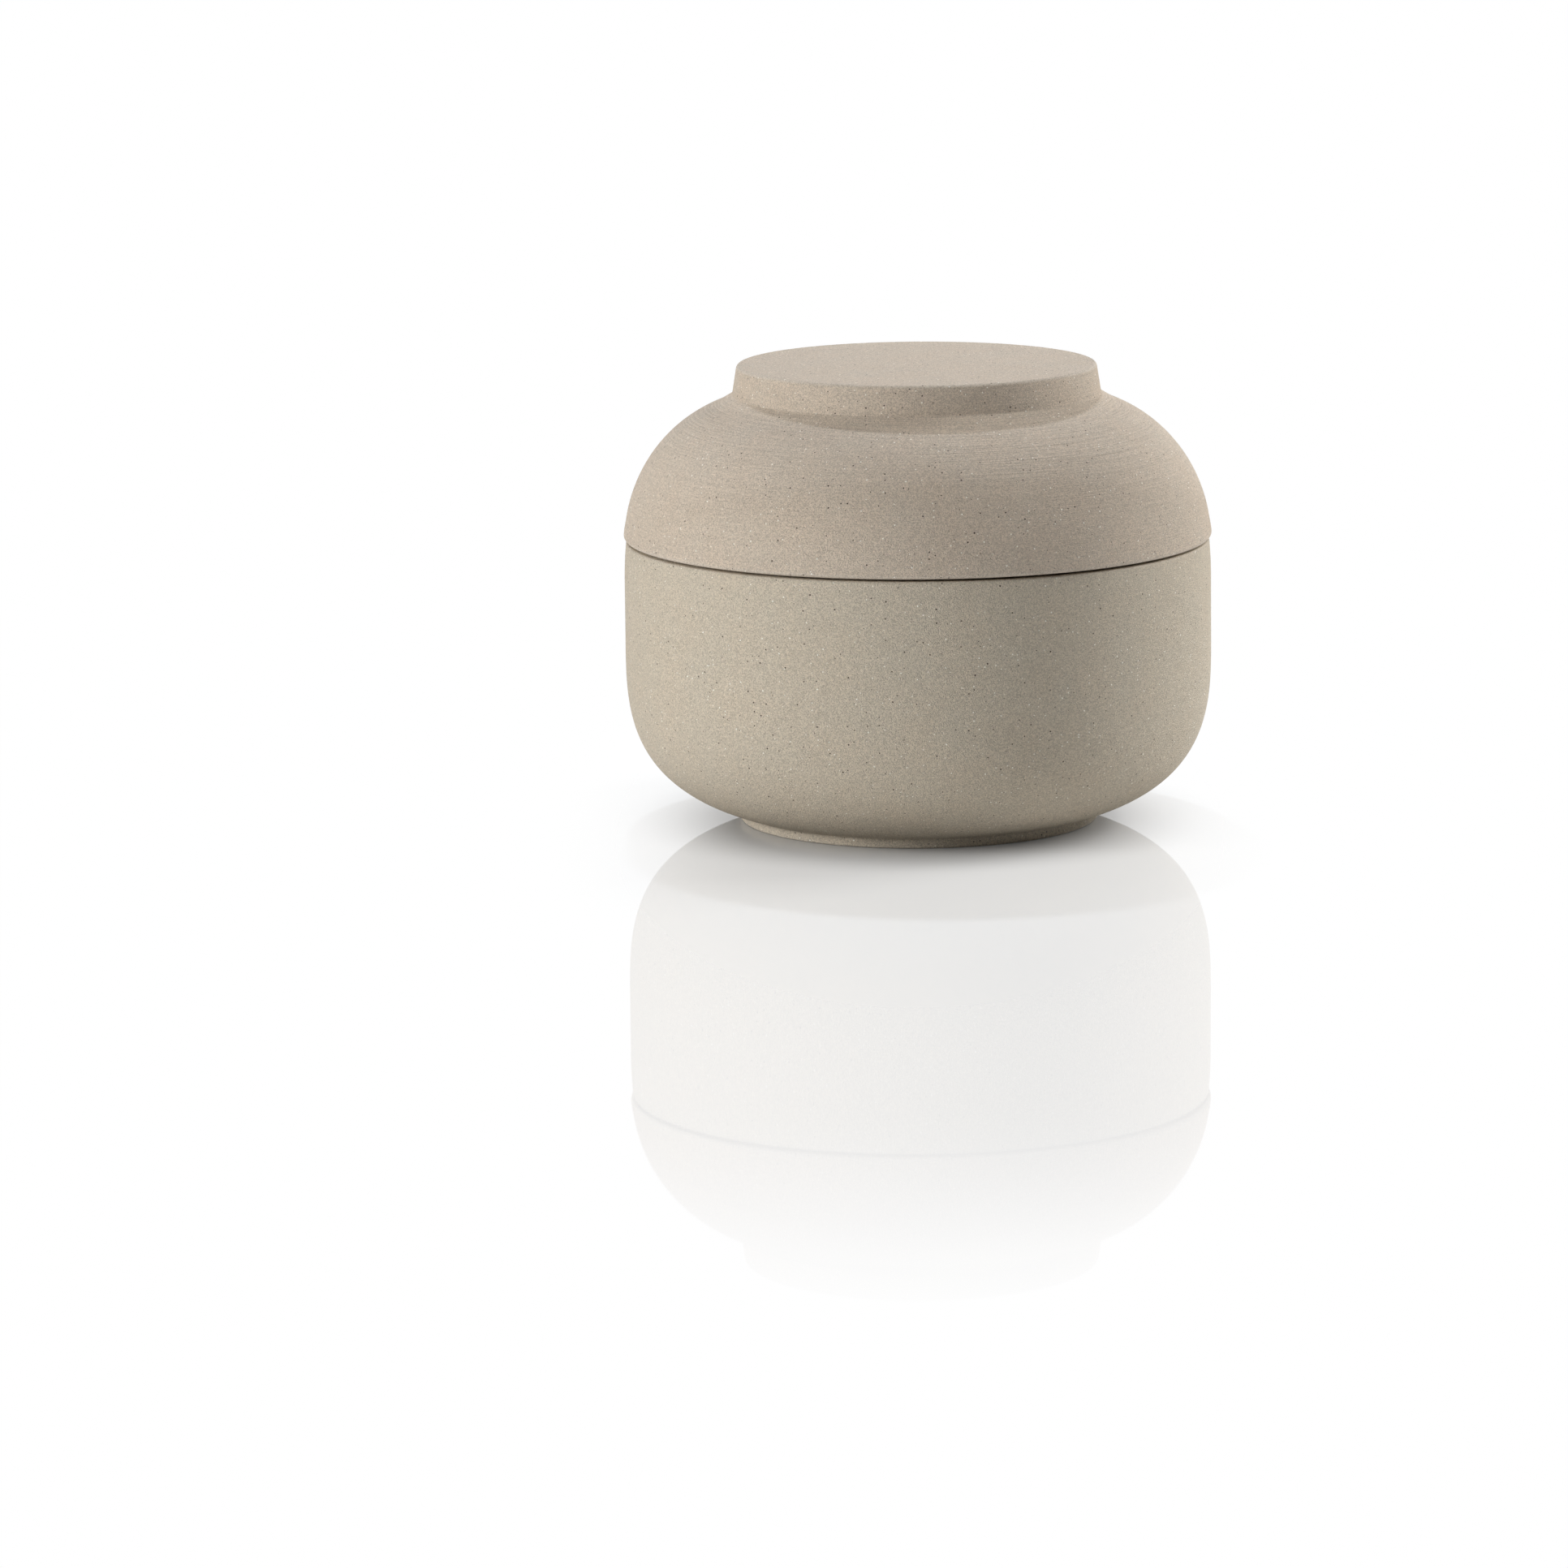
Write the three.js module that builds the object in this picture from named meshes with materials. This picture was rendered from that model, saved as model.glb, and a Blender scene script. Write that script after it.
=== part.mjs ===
// Lidded stoneware jar: a round bowl on a low foot ring, closed by a domed lid with a flat disc for a grip.
// Both pieces are turned forms. Millimetres, +Z up, with the origin on the table under the middle of the foot.

import * as THREE from "three";

// Driving dimensions of both pieces
const OUTER_DIAMETER = 120; // the jar's upright wall, and the lid where its dome would meet that wall
const STEPS_AROUND = 64; // flat facets in a full turn
const STEP_ANGLE = 30; // widest turn between two points of a rounded edge, in degrees

// Jar body
const JAR_HEIGHT = 57.8; // from the table to the rim that carries the lid
const JAR_WALL = 4.5; // thickness of the upright wall
const JAR_FLOOR = 4.2; // thickness of the floor above the recess under the jar
const WALL_START = 37.5; // height at which the bowl has turned into the upright wall
const BOWL_FULLNESS = 3.15; // exponent of the bowl's superellipse: 2 is an ellipse, more is squarer
const BOWL_STEPS = 13; // facets from the foot to the upright wall
const RIM_ROUND = 0.5; // edges of the rim
const RIM_TAPER = 0.4; // how far the wall draws in at the rim
const TAPER_HEIGHT = 8.3; // height of the part that draws in

// Foot ring
const FOOT_DIAMETER = 73.4; // outside of the ring
const FOOT_WIDTH = 4.5; // from the outside of the ring to its inside
const FOOT_HEIGHT = 2; // from the table to where the bowl springs from the ring
const FOOT_RECESS = 2; // how far the underside is hollowed out within the ring
const FOOT_ROUND = 0.5; // edges that stand on the table
const FOOT_FILLET = 0.8; // hollows where the ring joins the bowl and the underside

// Dome of the lid
const LID_WALL = 4.5; // thickness of the dome and of the grip
const DOME_REACH = 28.7; // half width of the dome's elliptical section, inwards from the rim
const DOME_RISE = 30.2; // half height of that section
const DOME_SINK = 0.55; // how far the centre of that section lies below the rim
const DOME_STEPS = 12; // facets from the rim to the grip
const LID_FLARE = 0.15; // how far the rim stands out from the dome's section
const LID_RIM_ROUND = 0.8; // lower outside edge of the rim
const SEAT_WIDTH = 2.2; // flat ring around the flange that rests on the jar
const SEAT_RELIEF = 0.7; // gap between lid and jar at the outside of the rim
const HOLLOW_ROUND = 3; // edges of the hollow under the lid
const HOLLOW_STEPS = 6; // facets from the grip's hollow to the flange

// Grip on top of the lid
const GRIP_DIAMETER = 73.3; // flat top, measured to its edge before rounding
const GRIP_HEIGHT = 6.1; // from the foot of its wall to the flat top
const GRIP_DRAFT = 9; // lean of the grip's wall, in degrees
const GRIP_ROUND = 0.8; // edge of the flat top
const GRIP_FILLET = 0.5; // hollow at the foot of its wall
const COVE_WIDTH = 3.2; // ring round the grip in which the dome sweeps up to it
const COVE_RISE = 0.96; // how far that lifts the grip's foot above the dome's section
const COVE_ROUND = 8; // hollow where the ring leaves the dome's section

// Flange that drops into the jar's mouth and keeps the lid in place
const FLANGE_DEPTH = 6; // below the lid's rim
const FLANGE_WALL = 3.2; // thickness
const FLANGE_CLEARANCE = 0.8; // radial play in the jar's mouth
const FLANGE_ROUND = 0.8; // lower edges
const FLANGE_FILLET = 0.5; // hollow where the flange joins the rim

// Clay
const CLAY_COLOUR = 0xc8bbab; // warm grey-beige
const CLAY_ROUGHNESS = 0.85; // fired and left unglazed outside

// Sizes that follow from the driving dimensions
const OUTER_RADIUS = OUTER_DIAMETER / 2;
const MOUTH_RADIUS = OUTER_RADIUS - JAR_WALL;
const FOOT_RADIUS = FOOT_DIAMETER / 2;
const FLANGE_RADIUS = MOUTH_RADIUS - FLANGE_CLEARANCE;
const FLANGE_BORE = FLANGE_RADIUS - FLANGE_WALL;
const SEAT_RADIUS = FLANGE_RADIUS + SEAT_WIDTH;
const DOME_CENTRE = OUTER_RADIUS - DOME_REACH;
const GRIP_RADIUS = GRIP_DIAMETER / 2;
const GRIP_BASE_RADIUS = GRIP_RADIUS + GRIP_HEIGHT * Math.tan(THREE.MathUtils.degToRad(GRIP_DRAFT));
const QUARTER_TURN = Math.PI / 2;

// A point of a profile, at a distance from the axis and a height, with the radius that rounds it off there.
const at = (r, z, round = 0) => ({ spot: new THREE.Vector2(r, z), round });

// Points of a curve at even steps of its angle, both ends among them.
function sweep(from, to, steps, point) {
  return Array.from({ length: steps + 1 }, (_, i) => point(THREE.MathUtils.lerp(from, to, i / steps)));
}

// The profile's points, with an arc in place of each rounded corner. Two arcs share the side between them.
function rounded(profile) {
  const room = (side, neighbour) => side.length() / (neighbour.round > 0 ? 2 : 1);
  return profile.flatMap(({ spot, round }, i) => {
    if (round === 0) {
      return [spot];
    }
    const back = profile[i - 1].spot.clone().sub(spot);
    const ahead = profile[i + 1].spot.clone().sub(spot);
    const halfAngle = Math.acos(back.dot(ahead) / back.length() / ahead.length()) / 2;
    const longest = Math.min(room(back, profile[i - 1]), room(ahead, profile[i + 1]));
    const tangent = Math.min(round / Math.tan(halfAngle), longest);
    const radius = tangent * Math.tan(halfAngle);
    const middle = back.clone().normalize().add(ahead.clone().normalize()).normalize();
    const centre = spot.clone().addScaledVector(middle, radius / Math.sin(halfAngle));
    const start = spot.clone().addScaledVector(back.normalize(), tangent);
    const turn = Math.PI - 2 * halfAngle;
    const way = Math.sign(ahead.cross(back));
    const steps = Math.ceil(turn / THREE.MathUtils.degToRad(STEP_ANGLE));
    return sweep(0, way * turn, steps, (angle) => start.clone().rotateAround(centre, angle));
  });
}

// A solid turned about +Z from its profile, which runs outwards below and back to the axis above.
function turned(profile) {
  return new THREE.LatheGeometry(rounded(profile), STEPS_AROUND).rotateX(QUARTER_TURN);
}

// A point of a bowl's superellipse: angle 0 is at the upright wall, a quarter turn is at the bottom.
function onBowl(angle, halfWidth, depth) {
  const power = 2 / BOWL_FULLNESS;
  const across = halfWidth * Math.sin(QUARTER_TURN - angle) ** power;
  const down = depth * Math.sin(angle) ** power;
  return at(across, WALL_START - down);
}

// The angle at which such a bowl has a given radius.
function bowlAngle(radius, halfWidth) {
  return Math.acos((radius / halfWidth) ** (BOWL_FULLNESS / 2));
}

// A point of the dome's section, or of its inside at a wall's distance: angle 0 is level with the centre.
function onDome(angle, wall = 0) {
  const across = (DOME_REACH - wall) * Math.cos(angle);
  const up = (DOME_RISE - wall) * Math.sin(angle);
  return at(DOME_CENTRE + across, up - DOME_SINK);
}

// The angle at which the dome has a given radius. Within its centre the dome is level.
function domeAngle(radius, wall = 0) {
  return Math.acos(THREE.MathUtils.clamp((radius - DOME_CENTRE) / (DOME_REACH - wall), 0, 1));
}

// Jar body: foot ring, bowl, upright wall and drawn-in rim, with a smooth inside that ends in a level floor.
function jarBody() {
  const footBore = FOOT_RADIUS - FOOT_WIDTH;
  const springAngle = bowlAngle(FOOT_RADIUS, OUTER_RADIUS);
  const outerDepth = (WALL_START - FOOT_HEIGHT) / Math.sin(springAngle) ** (2 / BOWL_FULLNESS);
  const innerDepth = WALL_START - FOOT_RECESS - JAR_FLOOR;
  const outside = sweep(springAngle, 0, BOWL_STEPS, (angle) => onBowl(angle, OUTER_RADIUS, outerDepth));
  const inside = sweep(0, QUARTER_TURN, BOWL_STEPS, (angle) => onBowl(angle, MOUTH_RADIUS, innerDepth));
  return turned([
    at(0, FOOT_RECESS),
    at(footBore, FOOT_RECESS, FOOT_FILLET),
    at(footBore, 0, FOOT_ROUND),
    at(FOOT_RADIUS, 0, FOOT_ROUND),
    at(FOOT_RADIUS, FOOT_HEIGHT, FOOT_FILLET),
    ...outside.slice(1),
    at(OUTER_RADIUS, JAR_HEIGHT - TAPER_HEIGHT),
    at(OUTER_RADIUS - RIM_TAPER, JAR_HEIGHT, RIM_ROUND),
    at(MOUTH_RADIUS, JAR_HEIGHT, RIM_ROUND),
    ...inside,
  ]);
}

// Lid: flange, flat rim that rests on the jar, dome and grip, hollow beneath. Height 0 is at the rim.
function lidShell() {
  const hollowRadius = GRIP_BASE_RADIUS - LID_WALL;
  const hollowAngle = domeAngle(hollowRadius, LID_WALL);
  const boreAngle = domeAngle(FLANGE_BORE, LID_WALL);
  const rimAngle = Math.asin((DOME_SINK + SEAT_RELIEF) / DOME_RISE);
  const coveAngle = domeAngle(GRIP_BASE_RADIUS + COVE_WIDTH);
  const inside = sweep(hollowAngle, boreAngle, HOLLOW_STEPS, (angle) => onDome(angle, LID_WALL));
  const outside = sweep(rimAngle, coveAngle, DOME_STEPS, (angle) => onDome(angle));
  const gripFoot = onDome(domeAngle(GRIP_BASE_RADIUS)).spot.y + COVE_RISE;
  const gripTop = gripFoot + GRIP_HEIGHT;
  return turned([
    at(0, gripTop - LID_WALL),
    at(GRIP_RADIUS - LID_WALL, gripTop - LID_WALL, HOLLOW_ROUND),
    at(hollowRadius, inside.at(0).spot.y, HOLLOW_ROUND),
    ...inside.slice(1, -1),
    at(FLANGE_BORE, inside.at(-1).spot.y, HOLLOW_ROUND),
    at(FLANGE_BORE, -FLANGE_DEPTH, FLANGE_ROUND),
    at(FLANGE_RADIUS, -FLANGE_DEPTH, FLANGE_ROUND),
    at(FLANGE_RADIUS, 0, FLANGE_FILLET),
    at(SEAT_RADIUS, 0),
    at(outside.at(0).spot.x + LID_FLARE, SEAT_RELIEF, LID_RIM_ROUND),
    ...outside.slice(1, -1),
    at(GRIP_BASE_RADIUS + COVE_WIDTH, outside.at(-1).spot.y, COVE_ROUND),
    at(GRIP_BASE_RADIUS, gripFoot, GRIP_FILLET),
    at(GRIP_RADIUS, gripTop, GRIP_ROUND),
    at(0, gripTop),
  ]);
}

// Unglazed stoneware, one material for each piece.
function clay() {
  return new THREE.MeshStandardMaterial({ color: CLAY_COLOUR, roughness: CLAY_ROUGHNESS, metalness: 0 });
}

const jar = new THREE.Mesh(jarBody(), clay());
jar.name = "jar_body";

const lid = new THREE.Mesh(lidShell(), clay());
lid.name = "lid";
lid.position.z = JAR_HEIGHT;

const liddedJar = new THREE.Group();
liddedJar.add(jar, lid);

export default liddedJar;
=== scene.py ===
"""Dresses the lidded stoneware jar for its portrait.

Both pieces are turned forms, so one Geometry Nodes tree turns each profile about the jar's axis. Sizes are in
millimetres unless a name says otherwise, and meshes are in metres, in the frame's own place.
"""

from __future__ import annotations

import logging
import math
from abc import ABC, abstractmethod
from collections.abc import Callable, Mapping, Sequence
from dataclasses import dataclass, replace
from enum import Enum
from typing import Any, ClassVar

import bpy
from mathutils import Matrix, Vector

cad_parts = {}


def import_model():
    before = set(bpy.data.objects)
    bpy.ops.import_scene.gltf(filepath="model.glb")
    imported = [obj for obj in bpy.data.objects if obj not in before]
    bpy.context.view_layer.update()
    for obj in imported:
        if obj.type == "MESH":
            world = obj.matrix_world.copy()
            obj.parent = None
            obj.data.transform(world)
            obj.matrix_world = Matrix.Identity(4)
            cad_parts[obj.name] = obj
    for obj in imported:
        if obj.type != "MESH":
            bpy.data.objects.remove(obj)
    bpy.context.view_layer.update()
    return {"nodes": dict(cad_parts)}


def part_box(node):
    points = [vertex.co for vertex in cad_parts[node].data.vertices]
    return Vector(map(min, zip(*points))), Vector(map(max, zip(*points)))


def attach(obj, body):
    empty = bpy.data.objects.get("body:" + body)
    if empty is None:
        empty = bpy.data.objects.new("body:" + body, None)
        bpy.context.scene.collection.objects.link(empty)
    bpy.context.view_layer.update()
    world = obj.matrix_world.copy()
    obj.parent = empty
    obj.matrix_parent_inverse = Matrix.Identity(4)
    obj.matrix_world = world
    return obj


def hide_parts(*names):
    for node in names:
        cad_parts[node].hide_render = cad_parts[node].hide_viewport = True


log = logging.getLogger("lidded_jar")

MM = 0.001
QUARTER_TURN = math.pi / 2
FULL_TURN = 2 * math.pi
# A place multiplied by this loses its height.
LEVEL = (1.0, 1.0, 0.0)


def linear(colour: str) -> tuple[float, float, float, float]:
    """Turns an sRGB colour into the linear one that the nodes take.

    Args:
        colour: The colour as a hex value, such as #C8BBAB.

    Returns:
        Linear red, green and blue, and full opacity.
    """
    shares = [int(colour[i : i + 2], 16) / 255 for i in (1, 3, 5)]
    red, green, blue = (s / 12.92 if s <= 0.04045 else ((s + 0.055) / 1.055) ** 2.4 for s in shares)
    return red, green, blue, 1.0


def per_metre(size: float) -> float:
    """The scale at which a texture repeats once in a size given in millimetres."""
    return 1 / (size * MM)


def add_node(
    tree: bpy.types.NodeTree,
    kind: str,
    inputs: Mapping[str | int, Any] | None = None,
    output: str = "",
    **settings: Any,
) -> bpy.types.NodeSocket | None:
    """Adds a node with its settings and links.

    Args:
        tree: The shader or geometry tree that gets the node.
        kind: Blender's name for the type of node.
        inputs: What goes into the node, by the input's name or by its place among the inputs in use. A socket
            is linked, and anything else becomes the input's value.
        output: Name of the output to return, or nothing for the first one in use.
        settings: The node's own properties.

    Returns:
        The output for other nodes to read, or None where the node has none.
    """
    node = tree.nodes.new(kind)
    for name, value in settings.items():
        setattr(node, name, value)
    in_use = [socket for socket in node.inputs if socket.enabled]
    for key, value in (inputs or {}).items():
        socket = in_use[key] if isinstance(key, int) else next(s for s in in_use if s.name == key)
        if isinstance(value, bpy.types.NodeSocket):
            tree.links.new(value, socket)
        else:
            socket.default_value = value
    return next((s for s in node.outputs if s.enabled and output in ("", s.name)), None)


def calculate(
    tree: bpy.types.NodeTree, operation: str, *values: bpy.types.NodeSocket | float
) -> bpy.types.NodeSocket:
    """Adds a node that calculates with sockets and numbers.

    Args:
        tree: The shader or geometry tree that gets the node.
        operation: Blender's name for the operation.
        values: What the operation takes, in its order.

    Returns:
        The result's socket.
    """
    return add_node(tree, "ShaderNodeMath", dict(enumerate(values)), operation=operation)


def about_zero(tree: bpy.types.NodeTree, value: bpy.types.NodeSocket) -> bpy.types.NodeSocket:
    """Moves a value that runs from 0 to 1, so that it lies about 0."""
    return calculate(tree, "SUBTRACT", value, 0.5)


def blend(
    tree: bpy.types.NodeTree,
    factor: bpy.types.NodeSocket,
    first: bpy.types.NodeSocket | str,
    second: bpy.types.NodeSocket | str,
) -> bpy.types.NodeSocket:
    """Adds a node that blends two colours.

    Args:
        tree: The material's tree.
        factor: 0 for the first colour, and 1 for the second.
        first: The first colour, as a socket or as a hex value.
        second: The second colour, given in the same way.

    Returns:
        The blended colour's socket.
    """
    ends = [linear(colour) if isinstance(colour, str) else colour for colour in (first, second)]
    return add_node(
        tree, "ShaderNodeMix", {"Factor": factor, "A": ends[0], "B": ends[1]}, data_type="RGBA"
    )


def new_material(name: str) -> bpy.types.Material:
    """An empty node material."""
    material = bpy.data.materials.new(name)
    material.use_nodes = True
    material.node_tree.nodes.clear()
    return material


def new_object(name: str, data: bpy.types.ID | None) -> bpy.types.Object:
    """An object at the origin, linked to the scene."""
    made = bpy.data.objects.new(name, data)
    bpy.context.scene.collection.objects.link(made)
    return made


# Profiles


class Coat(Enum):
    """What lies on the clay along a stretch of a profile."""

    BARE = 0.0
    GLAZED = 1.0


class Trace(Enum):
    """What each point of a turned mesh keeps from its profile, under the attribute's name."""

    RUN = "run"
    TOOLING = "tooling"
    WEAR_AND_HIGHLIGHT = "wear_and_highlight"
    COAT = "coat"


@dataclass(frozen=True)
class Station:
    """A point of a profile.

    The rounding is the radius of the arc that takes the corner's place. Tooling says how many times as strong
    as at the lid's rim the turning lines are, and wear how far the edge is lightened, from 0 to 1: partly
    rubbed clay, partly a painted highlight.
    """

    radius: float
    height: float
    rounding: float = 0.0
    coat: Coat = Coat.BARE
    tooling: float = 0.3
    wear_and_highlight: float = 0.0

    @property
    def spot(self) -> Vector:
        """The point as a vector across the section."""
        return Vector((self.radius, self.height))

    def moved(self, spot: Vector, wear_and_highlight: float = 0.0) -> Station:
        """The same kind of point in another place, with no corner of its own."""
        return replace(self, radius=spot.x, height=spot.y, rounding=0.0, wear_and_highlight=wear_and_highlight)


@dataclass(frozen=True)
class Profile:
    """The outline that a piece is turned from: outwards below, up, and back to the axis above."""

    stations: Sequence[Station]
    arc_step: float = math.radians(10)
    longest_step: float = 1.6
    guard: float = 0.15
    # Convex roundings smaller than this are lightened: partly rubbed clay, partly a painted highlight.
    sharpest_worn_and_lit: float = 1.5

    def points(self) -> list[Station]:
        """The outline's points, with arcs at its corners and its long sides divided."""
        return self._divided(self._rounded(self._cleared()))

    def _tangent(self, i: int, stations: Sequence[Station]) -> tuple[Vector, Vector, float, float]:
        """Measures a rounded corner.

        Args:
            i: The corner's place among the stations.
            stations: The stations that it stands among.

        Returns:
            Unit directions back and ahead, half the angle between them, and how far from the corner its arc
            touches either side. Two arcs share the side between them.
        """
        corner = stations[i]
        back = stations[i - 1].spot - corner.spot
        ahead = stations[i + 1].spot - corner.spot
        half_angle = back.angle(ahead) / 2
        room = min(
            side.length / (2 if other.rounding else 1)
            for side, other in ((back, stations[i - 1]), (ahead, stations[i + 1]))
        )
        wanted = corner.rounding / math.tan(half_angle)
        return back.normalized(), ahead.normalized(), half_angle, min(wanted, room)

    def _cleared(self) -> list[Station]:
        """The stations without those that an arc takes the place of."""
        kept = list(self.stations)
        for corner in [station for station in self.stations if station.rounding]:
            i = kept.index(corner)
            half_angle = (kept[i - 1].spot - corner.spot).angle(kept[i + 1].spot - corner.spot) / 2
            reach = corner.rounding / math.tan(half_angle)
            kept = [
                station
                for station in kept
                if station.rounding or (station.spot - corner.spot).length > reach
            ]
        return kept

    def _rounded(self, stations: Sequence[Station]) -> list[Station]:
        """The stations with an arc in place of each rounded corner."""
        points: list[Station] = []
        for i, corner in enumerate(stations):
            if not corner.rounding:
                points.append(corner)
                continue
            back, ahead, half_angle, tangent = self._tangent(i, stations)
            radius = tangent * math.tan(half_angle)
            centre = corner.spot + (back + ahead).normalized() * (radius / math.sin(half_angle))
            start = corner.spot + back * tangent - centre
            turn = math.pi - 2 * half_angle
            way = math.copysign(1.0, ahead.cross(back))
            # A small convex rounding is lightened at its middle: partly rubbed clay, partly a painted
            # highlight.
            worn_and_lit = way > 0 and radius < self.sharpest_worn_and_lit
            steps = math.ceil(turn / self.arc_step)
            for step in range(steps + 1):
                share = step / steps
                spot = centre + Matrix.Rotation(way * turn * share, 2) @ start
                points.append(corner.moved(spot, math.sin(math.pi * share) if worn_and_lit else 0.0))
        return points

    def _divided(self, points: Sequence[Station]) -> list[Station]:
        """The points, with more along each long side. Two lie near its ends and keep its shading flat."""
        divided: list[Station] = []
        for here, there in zip(points, points[1:]):
            divided.append(here)
            side = there.spot - here.spot
            if side.length <= self.longest_step:
                continue
            inner = side.length - 2 * self.guard
            steps = math.ceil(inner / self.longest_step)
            for step in range(steps + 1):
                distance = self.guard + inner * step / steps
                if here.radius or step:
                    divided.append(there.moved(here.spot + side.normalized() * distance))
        return [*divided, points[-1]]


@dataclass(frozen=True)
class BowlCurve:
    """A quarter of a superellipse, from an upright wall down to a level floor."""

    half_width: float
    depth: float
    top: float
    fullness: float
    coat: Coat = Coat.BARE

    def station(self, direction: float) -> Station:
        """The point that lies in a direction below the horizon, seen from the centre of the top."""
        across = math.cos(direction) if direction < QUARTER_TURN else 0.0
        down = math.sin(direction)
        sum_of_powers = (across / self.half_width) ** self.fullness + (down / self.depth) ** self.fullness
        reach = sum_of_powers ** (-1 / self.fullness)
        return Station(reach * across, self.top - reach * down, coat=self.coat)


@dataclass(frozen=True)
class DomeCurve:
    """A quarter of an ellipse whose centre lies away from the axis."""

    centre: float
    reach: float
    rise: float
    base: float
    coat: Coat = Coat.BARE

    def station(self, angle: float) -> Station:
        """The point at an angle above the level of the centre."""
        radius = self.centre + self.reach * math.cos(angle)
        return Station(radius, self.base + self.rise * math.sin(angle), coat=self.coat)

    def angle_at(self, radius: float) -> float:
        """The angle at which the dome has a given radius. Within its centre the dome is level."""
        return math.acos(max((radius - self.centre) / self.reach, 0.0))


def sweep(start: float, end: float, steps: int, place: Callable[[float], Station]) -> list[Station]:
    """Stations of a curve at even steps, both ends among them."""
    return [place(start + (end - start) * step / steps) for step in range(steps + 1)]


# Finishes


@dataclass(frozen=True)
class ClayPattern:
    """Sockets of the clay's pattern: its colour, its relief in millimetres and its roughness."""

    colour: bpy.types.NodeSocket
    relief: bpy.types.NodeSocket
    roughness: bpy.types.NodeSocket


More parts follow.
